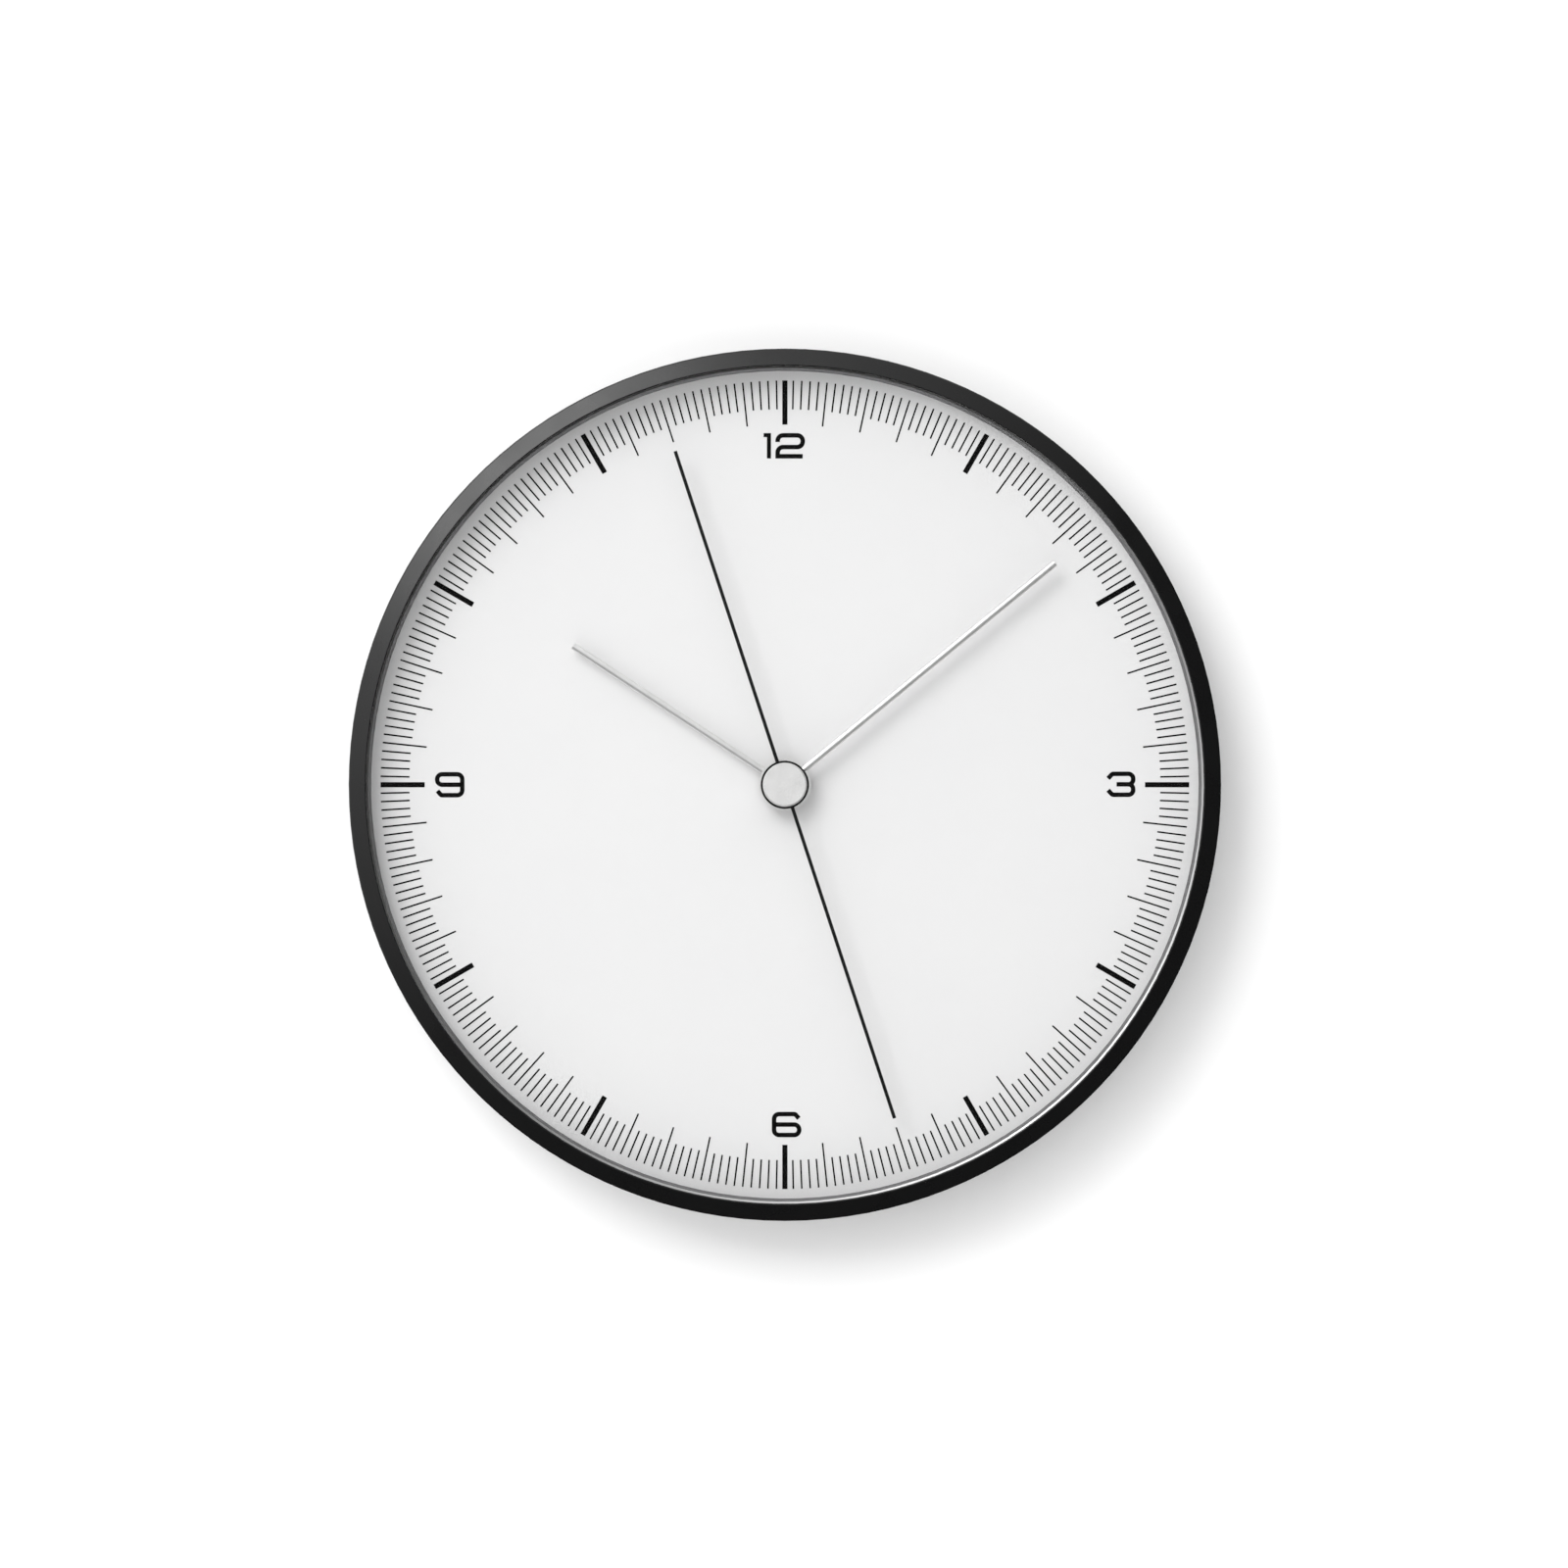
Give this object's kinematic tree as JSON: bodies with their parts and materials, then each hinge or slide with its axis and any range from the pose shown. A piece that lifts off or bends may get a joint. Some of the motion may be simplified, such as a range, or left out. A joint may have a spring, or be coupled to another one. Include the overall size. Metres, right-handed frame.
{
  "type": "wall clock",
  "caption": "Round quartz wall clock with a slim black metal case, white dial, rod hands, gear train, battery movement and keyhole back.",
  "frame": {"origin": "where the hands' axis meets the wall, in the plane of the back rim", "axes": "+Z towards twelve o'clock, +X towards three o'clock, +Y into the wall; the dial faces -Y"},
  "size_m": [0.3, 0.0323, 0.3],
  "materials": {
    "bezel_black": "satin black anodised aluminium",
    "clear_glass": "clear flat glass",
    "seal_rubber": "matt rubber",
    "rehaut_grey": "dark grey, with a bright-cut edge",
    "cover_plastic": "fine-grained moulded black plastic",
    "dial_white": "matt white",
    "print_black": "printed ink",
    "hand_silver": "satin",
    "hand_black": "satin black",
    "brass": "turned",
    "nut_steel": "plated",
    "wheel_nylon": "moulded",
    "magnet": "sintered",
    "knob_plastic": "moulded",
    "housing_plastic": "fine-grained moulded black plastic",
    "mid_plate_plastic": "moulded",
    "motor_iron": "stamped",
    "bobbin_nylon": "moulded",
    "copper_wire": "enamelled wire",
    "board_green": "solder mask",
    "resin_black": "cast resin",
    "crystal_can": "drawn",
    "cell_sleeve": "plain printed film",
    "cell_metal": "nickel plated",
    "contact_metal": "nickel plated"
  },
  "bodies": {
    "case": {"case_bezel": "bezel_black", "glass_lens": "clear_glass", "glass_gasket": "seal_rubber", "rehaut_ring": "rehaut_grey", "backing_ring": "cover_plastic", "rear_cover": "cover_plastic", "dial_plate": "dial_white", "dial_hour_marks": "print_black", "dial_minute_marks": "print_black", "dial_fifth_marks": "print_black", "dial_numerals": "print_black", "threaded_bush": "brass", "fixing_washer": "brass", "fixing_nut": "nut_steel", "rubber_washer": "seal_rubber", "movement_front_housing": "housing_plastic", "movement_mid_plate": "mid_plate_plastic", "movement_rear_cover": "housing_plastic", "stator": "motor_iron", "coil_core": "motor_iron", "coil_bobbin": "bobbin_nylon", "coil_winding": "copper_wire", "circuit_board": "board_green", "driver_chip": "resin_black", "quartz_crystal": "crystal_can", "battery_contact_positive": "contact_metal", "battery_contact_negative": "contact_metal"},
    "second_train": {"second_hand": "hand_black", "centre_cap": "hand_silver", "second_wheel": "wheel_nylon"},
    "rotor": {"rotor": "magnet"},
    "intermediate_wheel": {"intermediate_wheel": "wheel_nylon"},
    "third_wheel": {"third_wheel": "wheel_nylon"},
    "centre_wheel": {"centre_wheel": "brass"},
    "minute_train": {"minute_hand": "hand_silver", "cannon_pinion": "brass"},
    "motion_wheel": {"motion_wheel": "wheel_nylon"},
    "hour_train": {"hour_hand": "hand_silver", "hour_wheel": "wheel_nylon"},
    "setting_knob": {"setting_knob": "knob_plastic"},
    "battery": {"battery_can": "cell_sleeve", "battery_nub": "cell_metal"}
  },
  "joints": [
    {"name": "second_hand_spin", "type": "hinge", "parent": "case", "child": "second_train", "pos_m": [0, -0.01, 0], "axis": [0, 1, 0], "continuous": true},
    {"name": "rotor_spin", "type": "hinge", "parent": "case", "child": "rotor", "pos_m": [0.01094, -0.01, -0.00707], "axis": [0, 1, 0], "continuous": true},
    {"name": "intermediate_wheel_spin", "type": "hinge", "parent": "case", "child": "intermediate_wheel", "pos_m": [0.00609, -0.01, -0.00427], "axis": [0, 1, 0], "continuous": true},
    {"name": "third_wheel_spin", "type": "hinge", "parent": "case", "child": "third_wheel", "pos_m": [-0.00748, -0.01, 0], "axis": [0, 1, 0], "continuous": true},
    {"name": "centre_wheel_spin", "type": "hinge", "parent": "case", "child": "centre_wheel", "pos_m": [0, -0.01, 0], "axis": [0, 1, 0], "continuous": true},
    {"name": "minute_hand_spin", "type": "hinge", "parent": "case", "child": "minute_train", "pos_m": [0, -0.01, 0], "axis": [0, 1, 0], "continuous": true},
    {"name": "motion_wheel_spin", "type": "hinge", "parent": "case", "child": "motion_wheel", "pos_m": [0.0052, -0.01, 0.003], "axis": [0, 1, 0], "continuous": true},
    {"name": "hour_hand_spin", "type": "hinge", "parent": "case", "child": "hour_train", "pos_m": [0, -0.01, 0], "axis": [0, 1, 0], "continuous": true},
    {"name": "setting_knob_spin", "type": "hinge", "parent": "case", "child": "setting_knob", "pos_m": [0.01039, -0.01, 0.006], "axis": [0, 1, 0], "continuous": true},
    {"name": "battery_removal", "type": "slide", "parent": "case", "child": "battery", "axis": [0, 1, 0], "range_m": [0, 0.03]}
  ],
  "couplings": [
    {"joint": "rotor_spin", "follows": "second_hand_spin", "ratio": 30},
    {"joint": "intermediate_wheel_spin", "follows": "second_hand_spin", "ratio": -5},
    {"joint": "third_wheel_spin", "follows": "second_hand_spin", "ratio": -0.13333},
    {"joint": "centre_wheel_spin", "follows": "second_hand_spin", "ratio": 0.016667},
    {"joint": "motion_wheel_spin", "follows": "minute_hand_spin", "ratio": -0.33333},
    {"joint": "hour_hand_spin", "follows": "minute_hand_spin", "ratio": 0.083333},
    {"joint": "setting_knob_spin", "follows": "minute_hand_spin", "ratio": 1}
  ]
}
